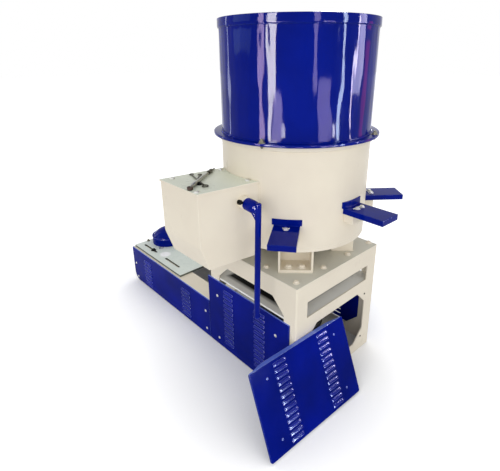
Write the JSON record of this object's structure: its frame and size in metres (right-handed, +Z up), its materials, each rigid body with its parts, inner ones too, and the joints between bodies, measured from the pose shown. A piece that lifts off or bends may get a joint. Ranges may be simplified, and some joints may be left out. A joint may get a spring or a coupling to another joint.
{
  "type": "plastic agglomerator",
  "caption": "Upright plastic film agglomerator: tall open hopper on a cutting drum with knife trays and a discharge box with lever, on a square stand with a side motor frame.",
  "frame": {"origin": "middle of the whole machine's bounding box, on the floor", "axes": "+X along the machine, from the motor frame to the stand's open end; +Y away from the discharge box; +Z up"},
  "size_m": [1.84, 1.1862, 1.739],
  "materials": {
    "blue_enamel": "gloss",
    "cream_enamel": "satin",
    "primed_plate": "satin",
    "bare_steel": "satin",
    "cast_iron": "rough"
  },
  "bodies": {
    "machine": {"back_inner_foot": "cream_enamel", "back_outer_foot": "cream_enamel", "bearing_housing": "cast_iron", "discharge_box": "cream_enamel", "discharge_lid": "primed_plate", "drive_pulley": "cast_iron", "drum_floor": "cream_enamel", "drum_wall": "cream_enamel", "front_inner_foot": "cream_enamel", "front_outer_foot": "cream_enamel", "hopper_flange": "blue_enamel", "hopper_shell": "blue_enamel", "knife_block_1": "cream_enamel", "knife_block_2": "cream_enamel", "knife_block_3": "cream_enamel", "knife_block_4": "cream_enamel", "knife_block_5": "cream_enamel", "knife_block_6": "cream_enamel", "knife_tray_1": "blue_enamel", "knife_tray_2": "blue_enamel", "knife_tray_3": "blue_enamel", "knife_tray_4": "blue_enamel", "knife_tray_5": "blue_enamel", "knife_tray_6": "blue_enamel", "leaning_end_cover": "blue_enamel", "main_shaft": "bare_steel", "motor_frame_back_cover": "blue_enamel", "motor_frame_back_side": "cream_enamel", "motor_frame_cross_bar": "cream_enamel", "motor_frame_end_plate": "cream_enamel", "motor_frame_front_cover": "blue_enamel", "motor_frame_front_side": "cream_enamel", "motor_slide_plate": "primed_plate", "rotor": "bare_steel", "round_blue_cover": "blue_enamel", "stand_back_cover": "blue_enamel", "stand_back_plate": "cream_enamel", "stand_end_plate": "cream_enamel", "stand_floor_channel": "cream_enamel", "stand_front_cover": "blue_enamel", "stand_front_plate": "cream_enamel", "stand_inner_plate": "cream_enamel", "stand_shelf": "cream_enamel", "stand_top_plate": "cream_enamel"},
    "gate": {"discharge_gate": "bare_steel", "gate_lever": "blue_enamel"}
  },
  "joints": [
    {"name": "discharge_gate_hinge", "type": "hinge", "parent": "machine", "child": "gate", "pos_m": [0.31231, -0.35838, 1.008], "axis": [-0.9907, 0.1357, 0], "range_deg": [0, 60]}
  ]
}
